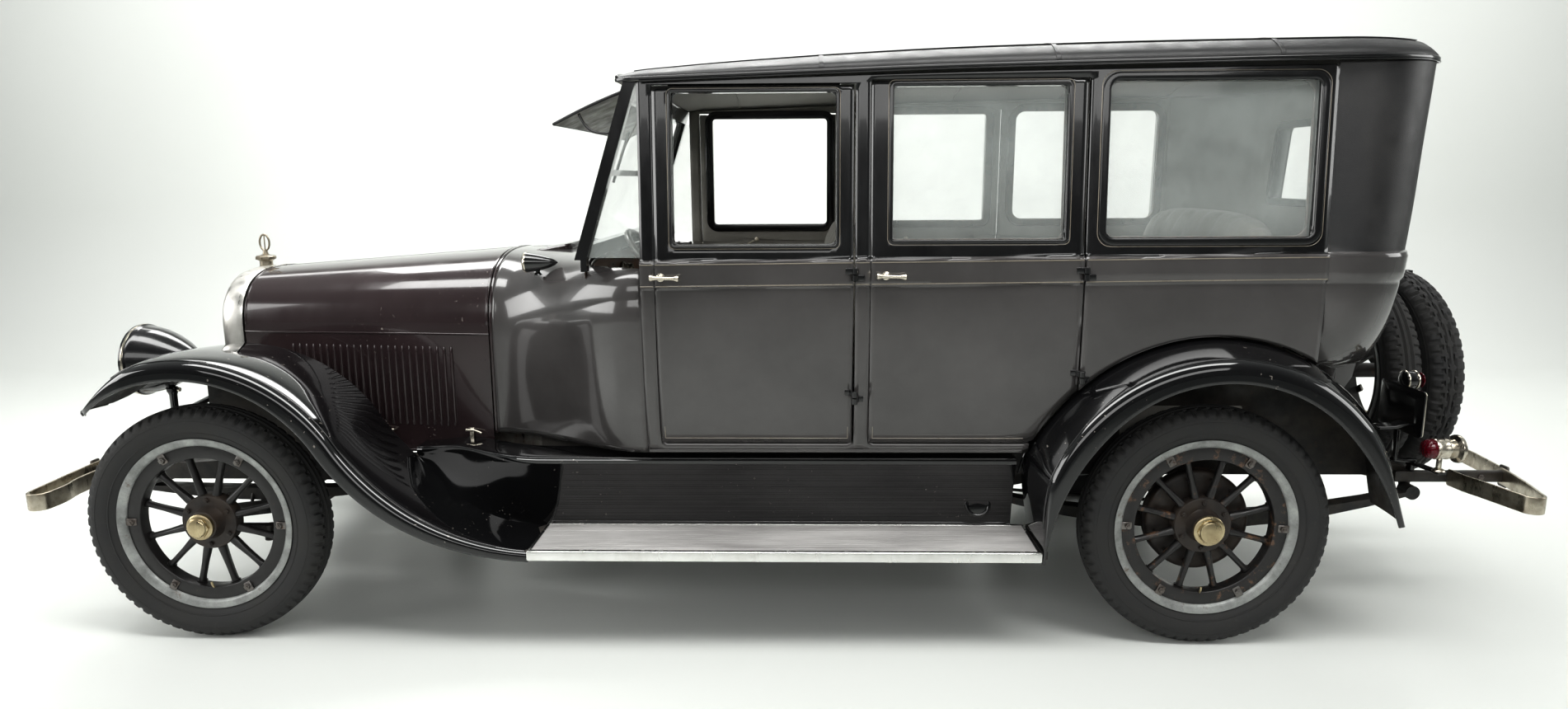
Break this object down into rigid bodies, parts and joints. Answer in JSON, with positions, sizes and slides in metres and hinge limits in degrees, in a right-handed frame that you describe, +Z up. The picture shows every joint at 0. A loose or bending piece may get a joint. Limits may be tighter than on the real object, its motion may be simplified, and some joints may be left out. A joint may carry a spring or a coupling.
{
  "type": "vintage closed touring sedan",
  "caption": "Closed touring sedan of the 1920s with opening doors and hood, steering, turning spoked wheels, fenders, running boards and spare tyres at the rear.",
  "frame": {"origin": "centre of the bounding box on the ground", "axes": "+X forward, along the car; +Y to the car's left; +Z up"},
  "size_m": [5.435, 1.78, 2.07],
  "materials": {
    "body_paint": "gloss",
    "black_paint": "gloss",
    "chassis_paint": "satin",
    "nickel": "worn nickel",
    "steel": "matte",
    "leatherette": "grained",
    "wood": "oiled",
    "wheel_paint": "worn",
    "tyre": "matte",
    "glass": "clear",
    "cloth": "woven",
    "aluminium": "worn"
  },
  "bodies": {
    "chassis": {"frame": "chassis_paint", "front_axle": "chassis_paint", "rear_axle": "chassis_paint", "leaf_springs": "chassis_paint", "engine": "steel", "fuel_tank": "chassis_paint", "exhaust": "steel", "radiator_shell": "nickel", "radiator_core": "chassis_paint", "cowl": "body_paint", "body_shell": "body_paint", "body_rear": "leatherette", "roof": "leatherette", "floor": "wood", "windscreen_frame": "black_paint", "window_glass": "glass", "sun_visor": "black_paint", "front_fenders": "black_paint", "rear_fenders": "black_paint", "running_boards": "aluminium", "splash_aprons": "black_paint", "headlamps": "black_paint", "side_lamps": "black_paint", "tail_lamps": "nickel", "seats": "cloth", "dashboard": "wood", "front_bumper": "nickel", "rear_bumper": "nickel", "spare_tyres": "tyre", "spare_carrier": "chassis_paint"},
    "steer_left": {"knuckle_left": "chassis_paint"},
    "steer_right": {"knuckle_right": "chassis_paint"},
    "tie_rod": {"tie_rod": "chassis_paint"},
    "steering_wheel": {"steering_wheel": "black_paint"},
    "wheel_front_left": {"wheel_front_left": "wheel_paint", "tyre_front_left": "tyre"},
    "wheel_front_right": {"wheel_front_right": "wheel_paint", "tyre_front_right": "tyre"},
    "wheel_rear_left": {"wheel_rear_left": "wheel_paint", "tyre_rear_left": "tyre"},
    "wheel_rear_right": {"wheel_rear_right": "wheel_paint", "tyre_rear_right": "tyre"},
    "hood_left": {"hood_top_left": "body_paint"},
    "hood_side_left": {"hood_side_left": "body_paint"},
    "hood_right": {"hood_top_right": "body_paint"},
    "hood_side_right": {"hood_side_right": "body_paint"},
    "door_front_left": {"door_front_left": "body_paint"},
    "door_front_right": {"door_front_right": "body_paint"},
    "door_rear_left": {"door_rear_left": "body_paint", "glass_rear_left": "glass"},
    "door_rear_right": {"door_rear_right": "body_paint", "glass_rear_right": "glass"}
  },
  "joints": [
    {"name": "steer_left", "type": "hinge", "parent": "chassis", "child": "steer_left", "pos_m": [2.0195, 0.672, 0.419], "axis": [0, 0, 1], "range_deg": [-30, 30]},
    {"name": "steer_right", "type": "hinge", "parent": "chassis", "child": "steer_right", "pos_m": [2.0195, -0.672, 0.419], "axis": [0, 0, 1], "range_deg": [-30, 30]},
    {"name": "tie_rod_pivot", "type": "hinge", "parent": "steer_left", "child": "tie_rod", "pos_m": [1.8695, 0.672, 0.329], "axis": [0, 0, 1], "range_deg": [-30, 30]},
    {"name": "steering_wheel_turn", "type": "hinge", "parent": "chassis", "child": "steering_wheel", "pos_m": [0.4425, 0.38, 1.25], "axis": [-0.7467, 0, 0.6652], "range_deg": [-450, 450]},
    {"name": "roll_front_left", "type": "hinge", "parent": "steer_left", "child": "wheel_front_left", "pos_m": [2.0195, 0.762, 0.419], "axis": [0, 1, 0], "continuous": true},
    {"name": "roll_front_right", "type": "hinge", "parent": "steer_right", "child": "wheel_front_right", "pos_m": [2.0195, -0.762, 0.419], "axis": [0, 1, 0], "continuous": true},
    {"name": "roll_rear_left", "type": "hinge", "parent": "chassis", "child": "wheel_rear_left", "pos_m": [-1.4345, 0.762, 0.419], "axis": [0, 1, 0], "continuous": true},
    {"name": "roll_rear_right", "type": "hinge", "parent": "chassis", "child": "wheel_rear_right", "pos_m": [-1.4345, -0.762, 0.419], "axis": [0, 1, 0], "continuous": true},
    {"name": "hood_left_lift", "type": "hinge", "parent": "chassis", "child": "hood_left", "pos_m": [1.6155, 0.009, 1.28185], "axis": [0.9972, 0, -0.0749], "range_deg": [0, 55]},
    {"name": "hood_side_left_fold", "type": "hinge", "parent": "hood_left", "child": "hood_side_left", "pos_m": [1.6155, 0.36025, 1.02299], "axis": [0.9924, -0.1226, -0.0059], "range_deg": [-55, 0]},
    {"name": "hood_right_lift", "type": "hinge", "parent": "chassis", "child": "hood_right", "pos_m": [1.6155, -0.009, 1.28185], "axis": [-0.9972, 0, 0.0749], "range_deg": [0, 55]},
    {"name": "hood_side_right_fold", "type": "hinge", "parent": "hood_right", "child": "hood_side_right", "pos_m": [1.6155, -0.36025, 1.02299], "axis": [-0.9924, -0.1226, 0.0059], "range_deg": [-55, 0]},
    {"name": "door_front_left_swing", "type": "hinge", "parent": "chassis", "child": "door_front_left", "pos_m": [-0.2405, 0.778, 1.08], "axis": [0, 0, 1], "range_deg": [0, 70]},
    {"name": "door_front_right_swing", "type": "hinge", "parent": "chassis", "child": "door_front_right", "pos_m": [-0.2405, -0.778, 1.08], "axis": [0, 0, -1], "range_deg": [0, 70]},
    {"name": "door_rear_left_swing", "type": "hinge", "parent": "chassis", "child": "door_rear_left", "pos_m": [-1.0005, 0.778, 1.08], "axis": [0, 0, 1], "range_deg": [0, 70]},
    {"name": "door_rear_right_swing", "type": "hinge", "parent": "chassis", "child": "door_rear_right", "pos_m": [-1.0005, -0.778, 1.08], "axis": [0, 0, -1], "range_deg": [0, 70]}
  ],
  "couplings": [
    {"joint": "hood_side_left_fold", "follows": "hood_left_lift", "ratio": -1},
    {"joint": "hood_side_right_fold", "follows": "hood_right_lift", "ratio": -1},
    {"joint": "steer_right", "follows": "steer_left", "ratio": 1},
    {"joint": "tie_rod_pivot", "follows": "steer_left", "ratio": -1},
    {"joint": "steering_wheel_turn", "follows": "steer_left", "ratio": 15}
  ]
}
